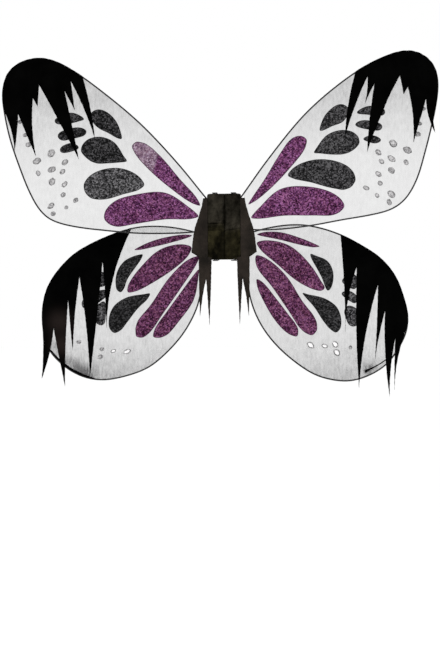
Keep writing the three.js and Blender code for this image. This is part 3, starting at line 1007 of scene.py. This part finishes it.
cover = {
    "half": 0.0329,
    "low": -0.0608,
    "high": 0.0658,
    "inner": -0.0004,
    "outer": -0.0108,
    "corner": 0.0045,
    "cornerSteps": 5,
    "stuffing": 0.7,
    "voxel": 0.0022,
    # Swelling: held within this many voxels of the rim and flap, and of the seam
    "heldRim": 0.6,
    "heldSeam": 0.7,
    "pressure": 4,
    "quality": 6,
    "slack": -0.06,
    "frames": 20,
    "mostMove": 0.0028,
    "smoothings": 2,
    "seam": 0.001,
    "seamWidth": 0.0016,
    "seamDepth": 0.0022,
    # The shadow along the seam: its half width below and above, and where it is wide
    "seamShade": 0.0019,
    "seamShadeWide": 0.0046,
    "seamWideFrom": 0.009,
    "seamWideTo": 0.042,
    "seamWideSoft": 0.0015,
    "seamEndSoft": 0.002,
    # The flap's top edge on each half: its height at the seam and how much higher it is at x = half
    "flapLeft": (0.0074, 0.0012),
    "flapRight": (-0.0075, 0.005),
    "flapRise": 0.0016,
    "flapSoft": 0.0007,
    "flapFade": 0.035,
    "flapToneSoft": 0.0009,
    "flapTintSoft": 0.002,
    # The valley just above the flap, painted darker as shade
    "valleyUp": 0.0016,
    "valleyWidth": 0.0014,
    "valleyDepth": 0.0012,
    # The flap's top band, and the arched fold below it on the left half
    "bandDrop": 0.0118,
    "bandSoft": 0.0007,
    "archTop": -0.003,
    "archHalf": 0.014,
    "archDrop": 0.0155,
    "archDepth": 0.0014,
    "archWidth": 0.0016,
    "archSoft": 0.0014,
    "archEnd": -0.034,
    "archEndSoft": 0.002,
    # Puckers, and how much they count in the cloth's lift below the flap and in its painted light and shade
    "crumple": 0.0015,
    "crumpleBelow": 0.6,
    "crumplePaintedShade": 0.3,
    "puckerBroad": (130, 60, 75),
    "puckerFine": (240, 190),
    "puckerSeed": 2.2,
    "puckerShare": 0.6,
    # Where the painted shade deepens towards the top, and towards the lower end of the left half
    "topFrom": 0.038,
    "topSoft": 0.004,
    "endFrom": -0.036,
    "endSoft": 0.005,
    # Painted shade and painted light: how dark the cloth is made, from 0 to 1
    "paintedShades": {
        "upperLeft": 0.12,
        "upperRight": 0.46,
        "top": 0.24,
        "band": 0.65,
        "lowerLeft": 0.18,
        "lowerLeftEnd": 0.45,
        "underArch": 0.9,
        "lowerRight": 0.65,
        "groove": 1,
        "valley": 0.85,
    },
    # Creases, a row each in millimetres: from x, z, to x, z, width, depth, painted shade; the last is a ridge
    "creases": [
        (-31, -4.8, -5, -4.4, 1.3, 0.9, 0.78),
        (4, 36, 31, 30, 2.2, 0.7, 0.7),
        (-13, 31, -9, 14, 1.5, 0.6, 0.5),
        (22, -14, 29, -30, 1.8, 0.6, 0.78),
        (-33, -54, -18, -44, 3, -1, 0),
    ],
    # Painted light and shade, lighter and darker places, a row each in millimetres: x, z, reach, and change
    "places": [(-16, 14, 9, -0.1), (16, 10, 9, -0.12), (17, -27, 8, -0.16), (-20, -17, 6, -0.1)],
    # Stitches: half sizes, spacing, places, and the depth from which the surface is sought
    "stitch": 0.0015,
    "stitchWide": 0.00032,
    "stitchHigh": 0.00022,
    "stitchStep": 0.0046,
    "stitchAside": 0.0036,
    "stitchBelow": 0.0032,
    "stitchMargin": 0.006,
    "stitchFrom": -0.1,
}


def flapLine(x):
    # The top edge of the lower flap, which sits lower on the right half
    start, rise = cover["flapLeft"] if x < cover["seam"] else cover["flapRight"]
    return start + rise * x / cover["half"]


def archDistance(x, z):
    # How far a place is from the arched fold in the flap
    share = x / cover["archHalf"]
    slope = 2 * cover["archDrop"] * share / cover["archHalf"]
    return (z - cover["archTop"] + cover["archDrop"] * share ** 2) / math.hypot(1, slope)


def creaseShare(x, z, fromX, fromZ, toX, toZ, width):
    # 1 on a crease's line, falling to 0 beside it; all in millimetres
    along = Vector((toX - fromX, toZ - fromZ))
    offset = Vector((x - fromX, z - fromZ))
    share = clamp(offset.dot(along) / along.length_squared)
    return bell((offset - along * share).length, width)


def softStep(value, width):
    # Rises from 0 to 1 where the value passes 0; the limit keeps the power in range
    limit = 60
    return 1 / (1 + math.exp(min(limit, max(-limit, -value / width))))


def pucker(co):
    # Broad puckers that go round the pad, and finer ones on its face
    broad, fine = cover["puckerBroad"], cover["puckerFine"]
    height = noise.noise(Vector((co.x * broad[0], co.y * broad[1], co.z * broad[2])))
    seed, share = cover["puckerSeed"], cover["puckerShare"]
    return height + share * noise.noise(Vector((co.x * fine[0], seed, co.z * fine[1])))


def shapedMesh(piece):
    graph = bpy.context.evaluated_depsgraph_get()
    shaped = bpy.data.meshes.new_from_object(piece.evaluated_get(graph))
    piece.modifiers.clear()
    piece.data = shaped


def padBlock():
    bm = bmesh.new()
    bmesh.ops.create_cube(bm, size=1)
    low = Vector((-cover["half"], cover["outer"], cover["low"]))
    high = Vector((cover["half"], cover["inner"], cover["high"]))
    bmesh.ops.scale(bm, vec=high - low, verts=bm.verts)
    bmesh.ops.translate(bm, vec=(low + high) / 2, verts=bm.verts)
    corners = []
    for edge in bm.edges:
        if abs(edge.verts[0].co.y - edge.verts[1].co.y) > meshing["tiny"]:
            corners.append(edge)
    bmesh.ops.bevel(
        bm,
        geom=corners,
        offset=cover["corner"],
        affect="EDGES",
        segments=cover["cornerSteps"],
        profile=0.5,
        material=-1,
    )
    return bm


def swell(piece):
    # Blows the pad up as cloth, held at its back, along its seam and along the flap's top
    held = piece.vertex_groups.new(name="held")
    start = [vert.co.copy() for vert in piece.data.vertices]
    for vert in piece.data.vertices:
        aside = cover["half"] - abs(vert.co.x)
        ends = min(cover["high"] - vert.co.z, vert.co.z - cover["low"])
        onRim = min(aside, ends, cover["inner"] - vert.co.y) < cover["voxel"] * cover["heldRim"]
        onSeam = abs(vert.co.x - cover["seam"]) < cover["voxel"] * cover["heldSeam"]
        onFlap = abs(vert.co.z - flapLine(vert.co.x)) < cover["voxel"] * cover["heldRim"]
        if onRim or onSeam or onFlap:
            held.add([vert.index], 1, "REPLACE")
    cloth = piece.modifiers.new("swell", "CLOTH")
    cloth.settings.quality = cover["quality"]
    cloth.settings.use_pressure = True
    cloth.settings.uniform_pressure_force = cover["pressure"]
    cloth.settings.effector_weights.gravity = 0
    cloth.settings.vertex_group_mass = "held"
    cloth.settings.shrink_min = cover["slack"]
    for number in range(1, cover["frames"] + 1):
        bpy.context.scene.frame_set(number)
    shapedMesh(piece)
    bpy.context.scene.frame_set(1)
    furthest = 0
    for vert, first in zip(piece.data.vertices, start):
        move = vert.co - first
        if move.length > cover["mostMove"]:
            move *= cover["mostMove"] / move.length
        vert.co = first + move
        furthest = max(furthest, move.length)
    print("cover swelled by", round(1000 * furthest, 2), "mm")


def paintedCoverShade(x, z, below):
    # Painted shade and painted light before creases: how dark the cloth is made by quarter, band, arch and
    # single places
    paintedShades = cover["paintedShades"]
    top = paintedShades["top"] * softStep(z - cover["topFrom"], cover["topSoft"])
    if x < cover["seam"]:
        upper, lower = paintedShades["upperLeft"], paintedShades["lowerLeft"]
        lower += paintedShades["lowerLeftEnd"] * softStep(cover["endFrom"] - z, cover["endSoft"])
        inBand = softStep(cover["bandDrop"] - below, cover["bandSoft"])
        lower += (paintedShades["band"] - lower) * inBand
        inArch = softStep(-archDistance(x, z), cover["archSoft"]) * (1 - inBand)
        lower += (paintedShades["underArch"] - lower) * inArch
    else:
        upper, lower = paintedShades["upperRight"], paintedShades["lowerRight"]
    tone = upper + top + (lower - upper - top) * softStep(below, cover["flapToneSoft"])
    # Painted light and shade at single places
    for placeX, placeZ, reach, change in cover["places"]:
        tone += change * bell(math.hypot(x * 1000 - placeX, z * 1000 - placeZ), reach)
    return tone


def seamShadow(aside, z):
    # The shadow along the seam, wider over part of its upper half
    wide = softStep(z - cover["seamWideFrom"], cover["seamWideSoft"])
    wide *= softStep(cover["seamWideTo"] - z, cover["seamEndSoft"])
    return bell(aside, cover["seamShade"] + (cover["seamShadeWide"] - cover["seamShade"]) * wide)


def sewCover(bm):
    # Draws in the seam, lifts the flap, creases the cloth, and marks its painted shade and painted light in
    # the 'fold' mark
    fold = bm.verts.layers.float.new("fold")
    low = bm.verts.layers.float.new("low")
    paintedShades = cover["paintedShades"]
    for vert in bm.verts:
        x, z = vert.co.x, vert.co.z
        front = clamp((vert.co.y - cover["inner"]) / (cover["outer"] - cover["inner"]))
        aside = x - cover["seam"]
        below = flapLine(x) - z
        lip = softStep(below, cover["flapSoft"]) * math.exp(-max(0, below) / cover["flapFade"])
        valley = bell(below + cover["valleyUp"], cover["valleyWidth"])
        crumple = pucker(vert.co)
        lift = cover["flapRise"] * lip
        lift -= cover["seamDepth"] * bell(aside, cover["seamWidth"])
        lift -= cover["valleyDepth"] * valley
        lift += cover["crumple"] * crumple * (cover["crumpleBelow"] if below > 0 else 1)
        if below > cover["bandDrop"] and aside < 0:
            arch = bell(archDistance(x, z), cover["archWidth"])
            lift -= cover["archDepth"] * arch * softStep(z - cover["archEnd"], cover["archEndSoft"])
        shades = [paintedShades["groove"] * seamShadow(aside, z), paintedShades["valley"] * valley, paintedCoverShade(x, z, below)]
        for *line, width, depth, tone in cover["creases"]:
            share = creaseShare(x * 1000, z * 1000, *line, width)
            lift -= depth / 1000 * share
            # Painted shade along the crease
            shades.append(tone * share)
        vert.co.y -= lift * front
        # Painted shade in the seam, valley, creases, arch and quarters, and painted light on the puckers'
        # crests and at the lighter places
        vert[fold] = clamp(max(shades) - cover["crumplePaintedShade"] * crumple)
        vert[low] = softStep(below, cover["flapTintSoft"])


def stitchRows():
    # Where each stitch goes, and how it is turned: beside the seam, then under the flap's top
    rows = []
    pace, margin = cover["stitchStep"], cover["stitchMargin"]
    count = int((cover["high"] - cover["low"] - 2 * margin) / pace)
    for side in (-1, 1):
        for i in range(count):
            rows.append((cover["seam"] + side * cover["stitchAside"], cover["low"] + margin + i * pace, 0))
    count = int(2 * (cover["half"] - margin) / pace)
    for i in range(count):
        x = -cover["half"] + margin + (i + 0.5) * pace
        rise = (cover["flapLeft"] if x < cover["seam"] else cover["flapRight"])[1]
        turn = math.pi / 2 - math.atan(rise / cover["half"])
        rows.append((x, flapLine(x) - cover["stitchBelow"], turn))
    return rows


def makeStitches(bm, surface):
    size = Matrix.Diagonal((cover["stitchWide"], cover["stitchHigh"], cover["stitch"], 1))
    for x, z, turn in stitchRows():
        point = surface.ray_cast(Vector((x, cover["stitchFrom"], z)), Vector((0, 1, 0)))[0]
        if point is None:
            continue
        made = bmesh.ops.create_icosphere(bm, subdivisions=2, radius=1)
        place = Matrix.Translation(point) @ Matrix.Rotation(turn, 4, "Y") @ size
        bmesh.ops.transform(bm, matrix=place, verts=made["verts"])
        for vert in made["verts"]:
            for face in vert.link_faces:
                face.material_index = 1


def makeCover():
    piece = makePiece(
        "centre_cover_pad", padBlock(), [coverCloth, stitchThread], ["centre_cover"]
    )
    remesh = piece.modifiers.new("remesh", "REMESH")
    remesh.mode = "VOXEL"
    remesh.voxel_size = cover["voxel"]
    shapedMesh(piece)
    swell(piece)
    bm = bmesh.new()
    bm.from_mesh(piece.data)
    bmesh.ops.subdivide_edges(bm, edges=bm.edges[:], cuts=1, use_grid_fill=True)
    for _ in range(cover["smoothings"]):
        bmesh.ops.smooth_vert(
            bm, verts=bm.verts, factor=0.5, use_axis_x=True, use_axis_y=True, use_axis_z=True
        )
    sewCover(bm)
    bmesh.ops.recalc_face_normals(bm, faces=bm.faces[:])
    makeStitches(bm, BVHTree.FromBMesh(bm))
    for face in bm.faces:
        face.smooth = True
    bm.to_mesh(piece.data)
    bm.free()
    return piece


# Arm loops: flat ribbed elastic, its ends sewn to the top and bottom of the cover

loop = {
    "spacing": 0.018,
    "splay": math.radians(2),
    "edge": 0.00045,
    "sharp": math.radians(60),
    "middle": 0.09,
    "radius": 0.085,
    # Ribs: their spacing and share across and along the band, their shadow and height
    "ribAcross": (0.00145, 0.6),
    "ribAlong": (0.0011, 0.4),
    "ribShade": (0.002, 0.002, 0.002, 1),
    "ribShadeShare": 0.6,
    "ribHeight": 0.00025,
    "ribStrength": 0.7,
    "roughness": 0.85,
    "sheen": 0.1,
    "shades": {"Scale": 120, "Dark": (0.006, 0.006, 0.006, 1), "Light": (0.014, 0.0135, 0.013, 1)},
}


def elasticMaterial():
    material, tree, shader = newMaterial(
        "elasticBand", Roughness=loop["roughness"], Sheen_Weight=loop["sheen"]
    )
    place = add(tree, "UVMap", uv_map="band").outputs[0]
    axes = add(tree, "SeparateXYZ", {0: place}).outputs
    waves = []
    for axis, (spacing, share) in zip(axes, (loop["ribAcross"], loop["ribAlong"])):
        wave = calc(tree, "SINE", calc(tree, "MULTIPLY", axis, 2 * math.pi / spacing), 0)
        waves.append(calc(tree, "MULTIPLY", wave, share))
    ribs = calc(tree, "ADD", *waves)
    tone = useGroup(tree, softMottle, loop["shades"]).outputs["Color"]
    between = spread(tree, ribs, -1, 1, loop["ribShadeShare"], 0)
    tree.links.new(mixColor(tree, between, tone, loop["ribShade"]), shader.inputs["Base Color"])
    bump(tree, shader, ribs, loop["ribHeight"], loop["ribStrength"])
    return material


elasticBand = elasticMaterial()


def makeLoop(hand, side):
    bm = copyNode(f"arm_loop_{hand}")
    joinFacets(bm)
    sharp = [edge for edge in bm.edges if edge.calc_face_angle(0) > loop["sharp"]]
    bmesh.ops.bevel(bm, geom=sharp, offset=loop["edge"], affect="EDGES", segments=2, profile=0.5, material=-1)
    layer = bm.loops.layers.uv.new("band")
    turn = side * loop["splay"]
    for face in bm.faces:
        for corner in face.loops:
            x = corner.vert.co.x - side * loop["spacing"]
            y = corner.vert.co.y
            forward = x * math.sin(turn) + y * math.cos(turn)
            aside = x * math.cos(turn) - y * math.sin(turn)
            angle = math.atan2(corner.vert.co.z, forward - loop["middle"])
            corner[layer].uv = (aside, angle * loop["radius"])
    piece = makePiece(f"arm_loop_{hand}_band", bm, [elasticBand], [f"arm_loop_{hand}"])
    soften(piece, 1)
    return piece


# Side cloth: hung beside the cover, its inner edge turned in

centreCloth = {
    "depth": -0.0051,
    "startDrop": -0.056,
    "tuck": {"below": 0.0375, "above": -0.0625, "by": 0.0026, "corner": 0.003, "up": 0.006},
    "turned": {
        "from": 0.0305,
        "below": 0.034,
        "above": -0.0585,
        "out": 0.0336,
        "depth": -0.0035,
        "wide": 0.0094,
    },
}

coverPiece = makeCover()
for wingName in ("forewing_left", "forewing_right"):
    side = wings[wingName]["side"]
    hand = wingName.split("_")[1]
    flatPlace = wingPlace(side, wings[wingName]["sweep"], 0, 1)
    clothName = f"centre_tatters_{hand}"
    makeTatters(clothName, side, flatPlace, cloth=sideCloth, held=coverPiece, **centreCloth)
    makeLoop(hand, side)
print("cover, centre cloth and arm loops made")

# Stage: camera, floor, sky and lamps, made last

makeCamera(camera)
bm = bmesh.new()
bmesh.ops.create_grid(bm, x_segments=1, y_segments=1, size=stage["floorSize"])
bmesh.ops.translate(bm, vec=(0, 0, stage["floorHeight"]), verts=bm.verts)
floorMesh = bpy.data.meshes.new("floor")
bm.to_mesh(floorMesh)
bm.free()
paleFloor = paintMaterial("paleFloor", stage["floorDark"], stage["floorLight"], stage["floorRoughness"])
floorMesh.materials.append(paleFloor)
floor = addObject("floor", floorMesh)

world = bpy.data.worlds.new("studio")
world.use_nodes = True
sky = world.node_tree
seen = add(sky, "Background", {"Color": (1, 1, 1, 1), "Strength": 1})
soft = add(sky, "Background", {"Color": (1, 1, 1, 1), "Strength": stage["sky"]})
direct = add(sky, "LightPath").outputs["Is Camera Ray"]
both = add(sky, "MixShader", {0: direct, 1: soft.outputs[0], 2: seen.outputs[0]})
sky.links.new(both.outputs[0], sky.nodes["World Output"].inputs["Surface"])
bpy.context.scene.world = world
bpy.context.scene.view_settings.view_transform = "Standard"
sun = bpy.data.lights.new("key", "SUN")
sun.energy = stage["sun"]
sun.angle = stage["sunSpread"]
sunItem = addObject("key", sun)
sunItem.rotation_euler = Vector(stage["sunWay"]).to_track_quat("-Z", "Y").to_euler()
for name, (place, size, power) in stage["lamps"].items():
    makeLamp(name, place, stage["aim"], size, power)
print("stage made")
